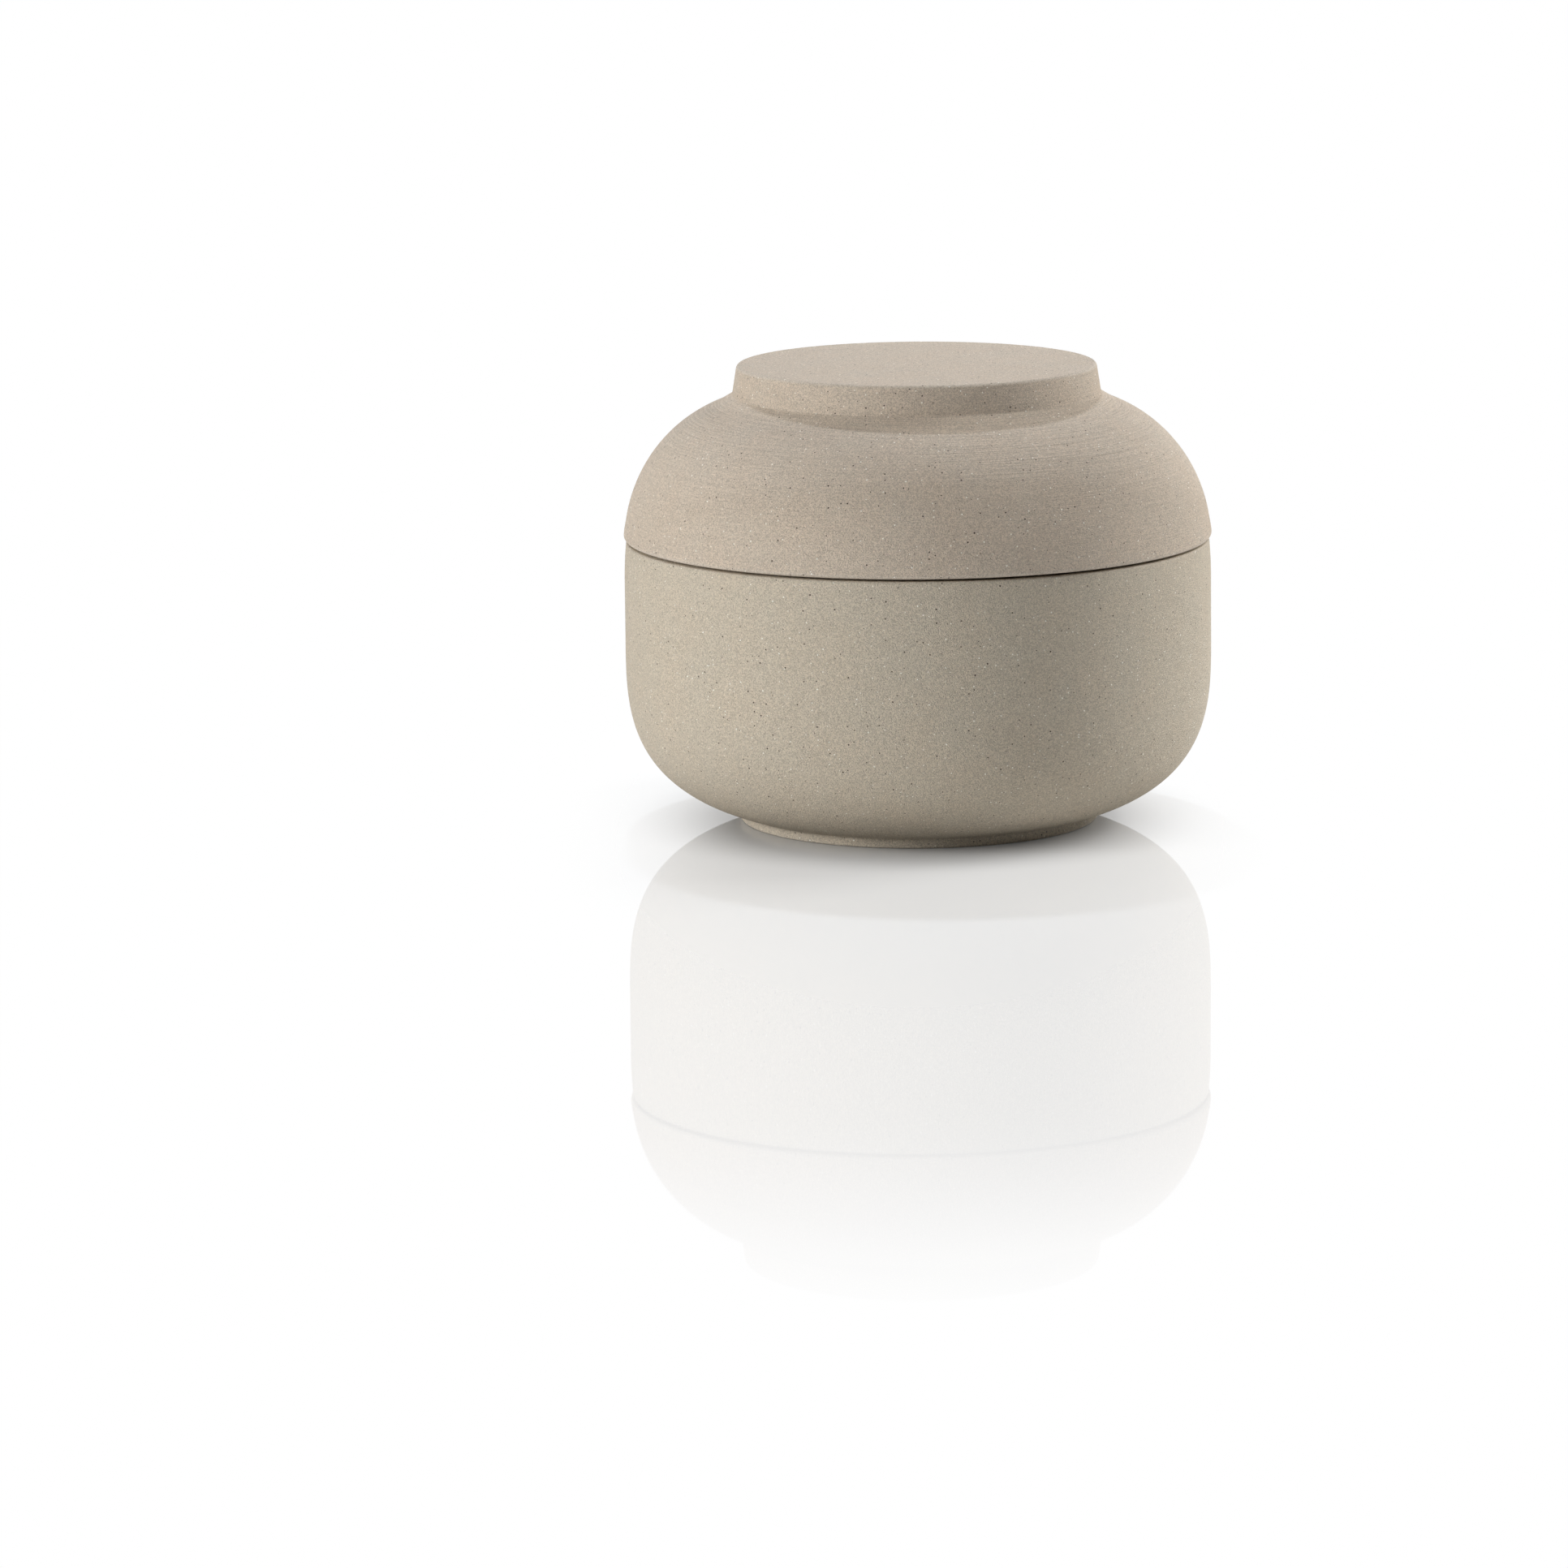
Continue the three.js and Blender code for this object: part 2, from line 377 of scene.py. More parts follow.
@dataclass(frozen=True)
class StonewareClay:
    """Speckled stoneware clay, turned on a wheel, fired and left bare."""

    # Dry, matt and warm grey-beige, with a fine gritty grain, burnt specks of iron, pale grains of quartz,
    # made near white so that they also stand for painted glints, and broken lines round the jar where the
    # turning tool dragged the grit along.
    name: str
    warm: str
    cool: str
    iron: str = "#453B33"
    # Near white: the pale specks are partly quartz grains and partly painted glints.
    quartz_and_glint: str = "#FFFCF2"
    # Lighter colour of small convex edges: partly rubbed clay, partly a painted highlight.
    rubbed_highlight: str = "#D6CBBC"
    patch: float = 9.0
    # The real grain is finer than this, about 0.1 mm, and too fine to show, so it is drawn coarser.
    grain: float = 0.18
    grain_depth: float = 0.11
    grain_tone: float = 0.5
    iron_spacing: float = 1.25
    iron_radius: float = 0.22
    iron_depth: float = 0.03
    # Keeps the pattern of the iron apart from that of the quartz, in metres.
    iron_offset: tuple[float, float, float] = (0.31, 0.17, 0.43)
    quartz_spacing: float = 1.1
    quartz_radius: float = 0.21
    quartz_rise: float = 0.06
    # Share of a speck's radius within which it is solid.
    solid_speck: float = 0.6
    line_spacing: float = 0.36
    # The lines have this length at this distance from the axis.
    line_length: float = 28.0
    line_radius: float = 60.0
    line_depth: float = 0.11
    line_tone: float = 0.15
    roughness: float = 0.84
    roughness_spread: float = 0.08
    specular_level: float = 0.2
    ior: float = 1.5

    def _specks(
        self, tree: bpy.types.NodeTree, place: bpy.types.NodeSocket, spacing: float, radius: float
    ) -> bpy.types.NodeSocket:
        """Scatters round specks of mixed sizes.

        Args:
            tree: The material's tree.
            place: Coordinates in metres.
            spacing: Mean distance between specks in the clay.
            radius: Radius of the largest speck.

        Returns:
            A mask that is 1 within a speck.
        """
        cell = add_node(tree, "ShaderNodeTexVoronoi", {"Vector": place, "Scale": per_metre(spacing)})
        chance = add_node(tree, "ShaderNodeSeparateColor", {"Color": cell.node.outputs["Color"]}, "Red")
        size = calculate(tree, "MULTIPLY", chance, radius / spacing)
        depth = calculate(tree, "DIVIDE", cell, size)
        return add_node(
            tree,
            "ShaderNodeMapRange",
            {"Value": depth, "From Min": self.solid_speck, "From Max": 1.0, "To Min": 1.0, "To Max": 0.0},
            interpolation_type="SMOOTHSTEP",
        )

    def _lines(self, tree: bpy.types.NodeTree, place: bpy.types.NodeSocket) -> bpy.types.NodeSocket:
        """Draws the broken lines that the turning tool left round the jar.

        Args:
            tree: The material's tree.
            place: Coordinates in metres.

        Returns:
            A value about 0, stronger where the piece shows more tooling.
        """
        run = add_node(tree, "ShaderNodeAttribute", output="Fac", attribute_name=Trace.RUN.value)
        tooling = add_node(tree, "ShaderNodeAttribute", output="Fac", attribute_name=Trace.TOOLING.value)
        level = add_node(tree, "ShaderNodeVectorMath", {0: place, 1: LEVEL}, operation="MULTIPLY")
        outwards = add_node(tree, "ShaderNodeVectorMath", {0: level}, operation="NORMALIZE")
        climb = calculate(tree, "DIVIDE", run, self.line_spacing)
        up = add_node(tree, "ShaderNodeCombineXYZ", {"Z": climb})
        streaks = add_node(
            tree,
            "ShaderNodeVectorMath",
            {0: outwards, 1: (self.line_radius / self.line_length,) * 3, 2: up},
            operation="MULTIPLY_ADD",
        )
        noise = add_node(tree, "ShaderNodeTexNoise", {"Vector": streaks, "Scale": 1.0, "Detail": 2.0})
        return calculate(tree, "MULTIPLY", about_zero(tree, noise), tooling)

    def pattern(self, tree: bpy.types.NodeTree) -> ClayPattern:
        """Draws the clay's colour, relief and roughness.

        Args:
            tree: The material's tree.

        Returns:
            The sockets for a shader to read.
        """
        place = add_node(tree, "ShaderNodeTexCoord", output="Object")
        wear_and_highlight = add_node(tree, "ShaderNodeAttribute", output="Fac", attribute_name=Trace.WEAR_AND_HIGHLIGHT.value)
        patches = add_node(
            tree, "ShaderNodeTexNoise", {"Vector": place, "Scale": per_metre(self.patch), "Detail": 3.0}
        )
        body = blend(tree, patches, self.warm, self.cool)
        cell = add_node(tree, "ShaderNodeTexVoronoi", {"Vector": place, "Scale": per_metre(self.grain)})
        grain = add_node(tree, "ShaderNodeSeparateColor", {"Color": cell.node.outputs["Color"]}, "Red")
        lines = self._lines(tree, place)
        grain_tone = calculate(tree, "MULTIPLY_ADD", about_zero(tree, grain), self.grain_tone, 1.0)
        tone = calculate(tree, "MULTIPLY_ADD", lines, self.line_tone, grain_tone)
        grainy = add_node(tree, "ShaderNodeVectorMath", {0: body, "Scale": tone}, operation="SCALE")
        # Small convex edges turn lighter: partly rubbed clay, partly a painted highlight.
        rubbing_and_highlight = calculate(tree, "MULTIPLY", wear_and_highlight, grain)
        rubbed_highlight = blend(tree, rubbing_and_highlight, grainy, self.rubbed_highlight)
        # Pale specks: partly quartz grains, partly painted glints.
        quartz_and_glint = self._specks(tree, place, self.quartz_spacing, self.quartz_radius)
        pale = blend(tree, quartz_and_glint, rubbed_highlight, self.quartz_and_glint)
        aside = add_node(tree, "ShaderNodeVectorMath", {0: place, 1: self.iron_offset}, operation="ADD")
        iron = self._specks(tree, aside, self.iron_spacing, self.iron_radius)
        colour = blend(tree, iron, pale, self.iron)
        relief = calculate(tree, "MULTIPLY", cell, -self.grain_depth)
        for mask, height in (
            (lines, self.line_depth),
            (quartz_and_glint, self.quartz_rise),
            (iron, -self.iron_depth),
        ):
            relief = calculate(tree, "MULTIPLY_ADD", mask, height, relief)
        roughness = add_node(
            tree,
            "ShaderNodeMapRange",
            {
                "Value": grain,
                "To Min": self.roughness - self.roughness_spread,
                "To Max": self.roughness + self.roughness_spread,
            },
        )
        return ClayPattern(colour, relief, roughness)

    def material(self) -> bpy.types.Material:
        """The bare clay as a material."""
        material = new_material(f"{self.name}_unglazed")
        tree = material.node_tree
        pattern = self.pattern(tree)
        normal = add_node(
            tree, "ShaderNodeBump", {"Strength": 1.0, "Distance": MM, "Height": pattern.relief}
        )
        surface = add_node(
            tree,
            "ShaderNodeBsdfPrincipled",
            {
                "Base Color": pattern.colour,
                "Roughness": pattern.roughness,
                "Normal": normal,
                "Specular IOR Level": self.specular_level,
                "IOR": self.ior,
            },
        )
        add_node(tree, "ShaderNodeOutputMaterial", {"Surface": surface})
        return material


@dataclass(frozen=True)
class SatinGlaze:
    """Clear satin glaze, poured over the clay inside the jar and under the lid."""

    # Smooth and softly shining, and it deepens the clay's colour as water does.
    clay: StonewareClay
    depth_of_colour: float = 0.86
    roughness: float = 0.22
    ior: float = 1.52
    ripple: float = 5.0
    ripple_depth: float = 0.03

    def material(self) -> bpy.types.Material:
        """The glazed clay as a material."""
        material = new_material(f"{self.clay.name}_clear_satin_glaze")
        tree = material.node_tree
        pattern = self.clay.pattern(tree)
        place = add_node(tree, "ShaderNodeTexCoord", output="Object")
        deep = add_node(
            tree,
            "ShaderNodeVectorMath",
            {0: pattern.colour, "Scale": self.depth_of_colour},
            operation="SCALE",
        )
        ripples = add_node(
            tree, "ShaderNodeTexNoise", {"Vector": place, "Scale": per_metre(self.ripple), "Detail": 0.0}
        )
        relief = calculate(tree, "MULTIPLY", ripples, self.ripple_depth)
        normal = add_node(tree, "ShaderNodeBump", {"Strength": 1.0, "Distance": MM, "Height": relief})
        surface = add_node(
            tree,
            "ShaderNodeBsdfPrincipled",
            {"Base Color": deep, "Roughness": self.roughness, "Normal": normal, "IOR": self.ior},
        )
        add_node(tree, "ShaderNodeOutputMaterial", {"Surface": surface})
        return material


# Turned pieces


class TurningWheel:
    """The Geometry Nodes tree that turns a profile about the jar's axis."""

    GEOMETRY = "Geometry"
    INPUTS: Mapping[str, str] = {
        "Facets": "NodeSocketInt",
        "Unevenness": "NodeSocketFloat",
        "Patch Size": "NodeSocketFloat",
        "Seed": "NodeSocketInt",
        "Clay": "NodeSocketMaterial",
        "Glaze": "NodeSocketMaterial",
    }
    MERGE_DISTANCE = 0.002 * MM
    MOSTLY_GLAZED = 0.9

    def __init__(self) -> None:
        """Builds the tree and notes the identifier of each input."""
        self.tree = bpy.data.node_groups.new("turned_on_the_wheel", "GeometryNodeTree")
        sockets = self.tree.interface
        sockets.new_socket(self.GEOMETRY, in_out="INPUT", socket_type="NodeSocketGeometry")
        self.identifiers = {
            name: sockets.new_socket(name, in_out="INPUT", socket_type=kind).identifier
            for name, kind in self.INPUTS.items()
        }
        sockets.new_socket(self.GEOMETRY, in_out="OUTPUT", socket_type="NodeSocketGeometry")
        self._link()

    def _link(self) -> None:
        """Adds the tree's nodes: a sheet of points that follows the profile round, closed and dressed."""
        tree = self.tree
        entry = add_node(tree, "NodeGroupInput").node.outputs
        profile = entry[self.GEOMETRY]
        rows = add_node(tree, "GeometryNodeAttributeDomainSize", {"Geometry": profile})
        columns = calculate(tree, "ADD", entry["Facets"], 1.0)
        sheet = add_node(tree, "GeometryNodeMeshGrid", {"Vertices X": rows, "Vertices Y": columns})

        index = add_node(tree, "GeometryNodeInputIndex")
        ratio = calculate(tree, "DIVIDE", index, columns)
        row = calculate(tree, "FLOOR", ratio)
        column = calculate(tree, "MODULO", index, columns)
        facet_angle = calculate(tree, "DIVIDE", FULL_TURN, entry["Facets"])
        angle = calculate(tree, "MULTIPLY", column, facet_angle)

        position = add_node(tree, "GeometryNodeInputPosition")
        outline = add_node(
            tree,
            "GeometryNodeSampleIndex",
            {"Geometry": profile, "Value": position, "Index": row},
            data_type="FLOAT_VECTOR",
        )
        turned = add_node(
            tree, "ShaderNodeVectorRotate", {"Vector": outline, "Angle": angle}, rotation_type="Z_AXIS"
        )
        geometry = add_node(tree, "GeometryNodeSetPosition", {"Geometry": sheet, "Position": turned})
        for trace in Trace:
            value = add_node(tree, "GeometryNodeInputNamedAttribute", {"Name": trace.value})
            sample = add_node(
                tree, "GeometryNodeSampleIndex", {"Geometry": profile, "Value": value, "Index": row}
            )
            geometry = add_node(
                tree,
                "GeometryNodeStoreNamedAttribute",
                {"Geometry": geometry, "Name": trace.value, "Value": sample},
            )
        closed = add_node(
            tree, "GeometryNodeMergeByDistance", {"Geometry": geometry, "Distance": self.MERGE_DISTANCE}
        )
        uneven = add_node(
            tree,
            "GeometryNodeSetPosition",
            {"Geometry": closed, "Offset": self._unevenness(entry)},
        )
        smooth = add_node(tree, "GeometryNodeSetShadeSmooth", {"Geometry": uneven})
        whole = add_node(tree, "GeometryNodeRealizeInstances", {"Geometry": smooth})
        clay = add_node(
            tree, "GeometryNodeSetMaterial", {"Geometry": whole, "Material": entry["Clay"]}
        )
        coat = add_node(tree, "GeometryNodeInputNamedAttribute", {"Name": Trace.COAT.value})
        glazed = add_node(
            tree, "FunctionNodeCompare", {"A": coat, "B": self.MOSTLY_GLAZED}, operation="GREATER_THAN"
        )
        dressed = add_node(
            tree,
            "GeometryNodeSetMaterial",
            {"Geometry": clay, "Selection": glazed, "Material": entry["Glaze"]},
        )
        add_node(tree, "NodeGroupOutput", {self.GEOMETRY: dressed})

    def _unevenness(self, entry: bpy.types.NodeOutputs) -> bpy.types.NodeSocket:
        """Moves points a little towards or away from the axis, so that level faces stay level.

        Args:
            entry: The outputs of the tree's input node.

        Returns:
            The offset of each point.
        """
        tree = self.tree
        position = add_node(tree, "GeometryNodeInputPosition")
        density = calculate(tree, "DIVIDE", 1.0, entry["Patch Size"])
        noise = add_node(
            tree,
            "ShaderNodeTexNoise",
            {"Vector": position, "W": entry["Seed"], "Scale": density, "Detail": 0.0},
            noise_dimensions="4D",
        )
        amount = calculate(tree, "MULTIPLY", about_zero(tree, noise), entry["Unevenness"])
        flat = add_node(tree, "ShaderNodeVectorMath", {0: position, 1: LEVEL}, operation="MULTIPLY")
        outwards = add_node(tree, "ShaderNodeVectorMath", {0: flat}, operation="NORMALIZE")
        return add_node(tree, "ShaderNodeVectorMath", {0: outwards, "Scale": amount}, operation="SCALE")

    def turn(self, name: str, points: Sequence[Station], settings: Mapping[str, Any]) -> bpy.types.Object:
        """Turns one piece.

        Args:
            name: The name of the finished object.
            points: The points of its profile.
            settings: The value of each of the tree's inputs, by name.

        Returns:
            A plain mesh object at the origin.
        """
        blank = new_object(f"{name}.profile", self._outline(name, points))
        modifier = blank.modifiers.new("turning", "NODES")
        modifier.node_group = self.tree
        for key, value in settings.items():
            modifier[self.identifiers[key]] = value
        depsgraph = bpy.context.evaluated_depsgraph_get()
        mesh = bpy.data.meshes.new_from_object(
            blank.evaluated_get(depsgraph), preserve_all_data_layers=True, depsgraph=depsgraph
        )
        mesh.name = name
        blank.modifiers.remove(modifier)
        bpy.data.objects.remove(blank)
        return new_object(name, mesh)

    @staticmethod
    def _outline(name: str, points: Sequence[Station]) -> bpy.types.Mesh:
        """Draws a profile as a line of points that carry their traces.

        Args:
            name: The name of the piece.
            points: The points of its profile.

        Returns:
            A mesh of edges, in metres.
        """
        mesh = bpy.data.meshes.new(f"{name}.profile")
        places = [(point.radius * MM, 0.0, point.height * MM) for point in points]
        mesh.from_pydata(places, [(i, i + 1) for i in range(len(points) - 1)], [])
        runs = [0.0]
        for here, there in zip(points, points[1:]):
            runs.append(runs[-1] + (there.spot - here.spot).length)
        traces = {
            Trace.RUN: runs,
            Trace.TOOLING: [point.tooling for point in points],
            Trace.WEAR_AND_HIGHLIGHT: [point.wear_and_highlight for point in points],
            Trace.COAT: [point.coat.value for point in points],
        }
        for trace, values in traces.items():
            mesh.attributes.new(trace.value, "FLOAT", "POINT").data.foreach_set("value", values)
        return mesh


@dataclass(kw_only=True)
class TurnedPiece(ABC):
    """A piece of the jar that is turned from a profile. It stands for the frame's node of the same name."""

    name: str
    body: str
    seed: int
    clay: StonewareClay
    facets: int = 256
    unevenness: float = 0.12
    unevenness_patch: float = 24.0
    glaze_thickness: float = 0.2

    SLOT: ClassVar[str] = "stoneware"

    @property
    def widest(self) -> float:
        """The node's largest radius in the frame."""
        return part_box(self.name)[1].x / MM

    @property
    def top(self) -> float:
        """The node's highest point in the frame."""
        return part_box(self.name)[1].z / MM

    @abstractmethod
    def profile(self) -> Profile:
        """The piece's outline."""

    def build(self, wheel: TurningWheel) -> bpy.types.Object:
        """Turns the piece, dresses it and sets it on its body.

        Args:
            wheel: The tree that turns it.

        Returns:
            The finished object.
        """
        settings = {
            "Facets": self.facets,
            "Unevenness": self.unevenness * MM,
            "Patch Size": self.unevenness_patch * MM,
            "Seed": self.seed,
            "Clay": self.clay.material(),
            "Glaze": SatinGlaze(self.clay).material(),
        }
        piece = wheel.turn(f"{self.name}_turned", self.profile().points(), settings)
        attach(piece, self.body)
        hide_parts(self.name)
        return piece


@dataclass(kw_only=True)
class JarBody(TurnedPiece):
    """The jar: foot ring, bowl, upright wall and drawn-in rim, glazed inside below the lid's flange."""

    wall: float = 4.5
    floor: float = 4.2
    wall_start: float = 37.5
    fullness: float = 3.15
    rim_round: float = 0.5
    rim_taper: float = 0.4
    taper_height: float = 8.3
    taper_steps: int = 8
    foot_diameter: float = 73.4
    foot_width: float = 4.5
    foot_height: float = 2.0
    foot_recess: float = 2.0
    foot_round: float = 0.5
    foot_fillet: float = 0.8
    glaze_line: float = 8.0
    curve_steps: int = 44

    @property
    def mouth_radius(self) -> float:
        """Radius of the mouth that takes the lid's flange."""
        return self.widest - self.wall

    def profile(self) -> Profile:
        """The jar's outline, from the middle of its underside to the middle of its floor inside."""
        foot_radius = self.foot_diameter / 2
        foot_bore = foot_radius - self.foot_width
        glaze_top = self.top - self.glaze_line
        glazed_mouth = self.mouth_radius - self.glaze_thickness
        return Profile(
            [
                Station(0.0, self.foot_recess),
                Station(foot_bore, self.foot_recess, self.foot_fillet),
                Station(foot_bore, 0.0, self.foot_round),
                Station(foot_radius, 0.0, self.foot_round),
                Station(foot_radius, self.foot_height, self.foot_fillet),
                *self._outside(foot_radius),
                *sweep(0.0, 1.0, self.taper_steps, self._on_taper)[:-1],
                Station(self.widest - self.rim_taper, self.top, self.rim_round),
                Station(self.mouth_radius, self.top, self.rim_round),
                Station(self.mouth_radius, glaze_top),
                Station(glazed_mouth, glaze_top - self.glaze_thickness, coat=Coat.GLAZED),
                *self._inside(glazed_mouth),
            ]
        )

    def _on_taper(self, share: float) -> Station:
        """A point of the upper wall, which draws in ever faster towards the rim."""
        height = self.top - self.taper_height * (1 - share)
        return Station(self.widest - self.rim_taper * share**2, height)

    def _outside(self, foot_radius: float) -> list[Station]:
        """The outside of the bowl, from just above the foot ring to the upright wall."""
        spring = self.wall_start - self.foot_height
        narrowing = 1 - (foot_radius / self.widest) ** self.fullness
        depth = spring / narrowing ** (1 / self.fullness)
        curve = BowlCurve(self.widest, depth, self.wall_start, self.fullness)
        return sweep(math.atan2(spring, foot_radius), 0.0, self.curve_steps, curve.station)[1:]

    def _inside(self, radius: float) -> list[Station]:
        """The inside of the bowl, from the upright wall to the middle of the floor."""
        depth = self.wall_start - self.foot_recess - self.floor - self.glaze_thickness
        curve = BowlCurve(radius, depth, self.wall_start, self.fullness, Coat.GLAZED)
        return sweep(0.0, QUARTER_TURN, self.curve_steps, curve.station)


@dataclass(kw_only=True)
class Lid(TurnedPiece):
    """The lid: flange, rim, dome and disc grip, glazed in the hollow beneath."""

    jar: JarBody
    wall: float = 4.5
    dome_reach: float = 28.7
    dome_rise: float = 30.2
    dome_sink: float = 0.55
    flare: float = 0.15
    flare_start: float = 4.5
    flare_end: float = 1.5
    rim_round: float = 0.8
    seat_width: float = 2.2
    seat_relief: float = 0.7
    hollow_round: float = 3.0
    grip_diameter: float = 73.3
    grip_height: float = 6.1
    grip_draft: float = math.radians(9)
    grip_round: float = 0.8
    grip_fillet: float = 0.5
    cove_width: float = 3.2
    cove_round: float = 8.0
    flange_depth: float = 6.0
    flange_wall: float = 3.2
    flange_clearance: float = 0.8
    flange_round: float = 0.8
    flange_fillet: float = 0.5
    glaze_line: float = 3.0
    tooling_at_rim: float = 1.0
    tooling_at_grip: float = 2.6
    tooling_on_wall: float = 1.0
    tooling_on_top: float = 0.4
    dome_steps: int = 40
    hollow_steps: int = 24

    def profile(self) -> Profile:
        """The lid's outline, from the middle of the hollow under the grip to the middle of the grip's top."""
        rim = self.jar.top
        flange_radius = self.jar.mouth_radius - self.flange_clearance
        flange_foot = rim - self.flange_depth
        bore = flange_radius - self.flange_wall
        grip_radius = self.grip_diameter / 2
        grip_base = grip_radius + self.grip_height * math.tan(self.grip_draft)
        grip_foot = self.top - self.grip_height
        outside = self._outside(rim, grip_base)
        coat_wall = self.wall + self.glaze_thickness
        under = self._dome(rim, coat_wall, Coat.GLAZED)
        glazed_bore = bore - self.glaze_thickness
        hollow_radius = grip_base - coat_wall
        hollow = sweep(
            under.angle_at(hollow_radius), under.angle_at(glazed_bore), self.hollow_steps, under.station
        )
        ceiling = self.top - coat_wall
        glaze_foot = flange_foot + self.glaze_line
        return Profile(
            [
                Station(0.0, ceiling, coat=Coat.GLAZED),
                Station(grip_radius - coat_wall, ceiling, self.hollow_round, Coat.GLAZED),
                Station(hollow_radius, hollow[0].height, self.hollow_round, Coat.GLAZED),
                *hollow[1:-1],
                Station(glazed_bore, hollow[-1].height, self.hollow_round, Coat.GLAZED),
                Station(glazed_bore, glaze_foot, coat=Coat.GLAZED),
                Station(bore, glaze_foot - self.glaze_thickness),
                Station(bore, flange_foot, self.flange_round),
                Station(flange_radius, flange_foot, self.flange_round),
                Station(flange_radius, rim, self.flange_fillet),
                Station(flange_radius + self.seat_width, rim),
                replace(outside[0], rounding=self.rim_round),
                *outside[1:-1],
                replace(outside[-1], rounding=self.cove_round),
                Station(grip_base, grip_foot, self.grip_fillet, tooling=self.tooling_at_grip),
                Station(grip_radius, self.top, self.grip_round, tooling=self.tooling_on_wall),
                Station(0.0, self.top, tooling=self.tooling_on_top),
            ]
        )

    def _dome(self, rim: float, wall: float = 0.0, coat: Coat = Coat.BARE) -> DomeCurve:
        """The dome's section, or that of its inside at a wall's distance."""
        return DomeCurve(
            self.jar.widest - self.dome_reach,
            self.dome_reach - wall,
            self.dome_rise - wall,
            rim - self.dome_sink,
            coat,
        )

    def _outside(self, rim: float, grip_base: float) -> list[Station]:
        """The outside of the dome, from the flared rim to the cove round the grip."""
        dome = self._dome(rim)
        rim_angle = math.asin((self.dome_sink + self.seat_relief) / self.dome_rise)
        cove_angle = dome.angle_at(grip_base + self.cove_width)
        plain_dome = sweep(rim_angle, cove_angle, self.dome_steps, dome.station)
        flared = []
        for station in plain_dome:
            share = (rim + self.flare_start - station.height) / (self.flare_start - self.flare_end)
            rise = min(max(share, 0.0), 1.0)
            flare = self.flare * rise**2 * (3 - 2 * rise)
            climb = (station.height - rim) / (plain_dome[-1].height - rim)
            tooling = self.tooling_at_rim + (self.tooling_at_grip - self.tooling_at_rim) * climb**2
            flared.append(replace(station, radius=station.radius + flare, tooling=tooling))
        return flared


# Stage


@dataclass(frozen=True)
class Lamp:
    """A square lamp that points at the jar. Azimuth 0 is the camera's side, and 90 degrees its right."""

    name: str
    azimuth: float
    elevation: float
    size: float
    power: float
    colour: str = "#FFFFFF"
    distance: float = 1000.0

    def build(self, target: Vector) -> bpy.types.Object:
        """Hangs the lamp.

        Args:
            target: The point that it lights, in metres.

        Returns:
            The lamp's object.
        """
        light = bpy.data.lights.new(self.name, "AREA")
        light.size = self.size * MM
        light.energy = self.power
        light.color = linear(self.colour)[:3]
        azimuth, elevation = math.radians(self.azimuth), math.radians(self.elevation)
        towards = Vector(
            (
                math.sin(azimuth) * math.cos(elevation),
                -math.cos(azimuth) * math.cos(elevation),
                math.sin(elevation),
            )
        )
        lamp = new_object(self.name, light)
        lamp.location = target + towards * self.distance * MM
        lamp.rotation_euler = (-towards).to_track_quat("-Z", "Y").to_euler()
        lamp.visible_camera = False
        return lamp


def seen_rays(tree: bpy.types.NodeTree) -> bpy.types.NodeSocket:
    """A mask: 1 for what the eye sees, directly or in a mirror or glass, and 0 for light on the jar."""
    rays = add_node(tree, "ShaderNodeLightPath").node.outputs
    mirrored = calculate(tree, "MAXIMUM", rays["Is Camera Ray"], rays["Is Glossy Ray"])
    return calculate(tree, "MAXIMUM", mirrored, rays["Is Transmission Ray"])


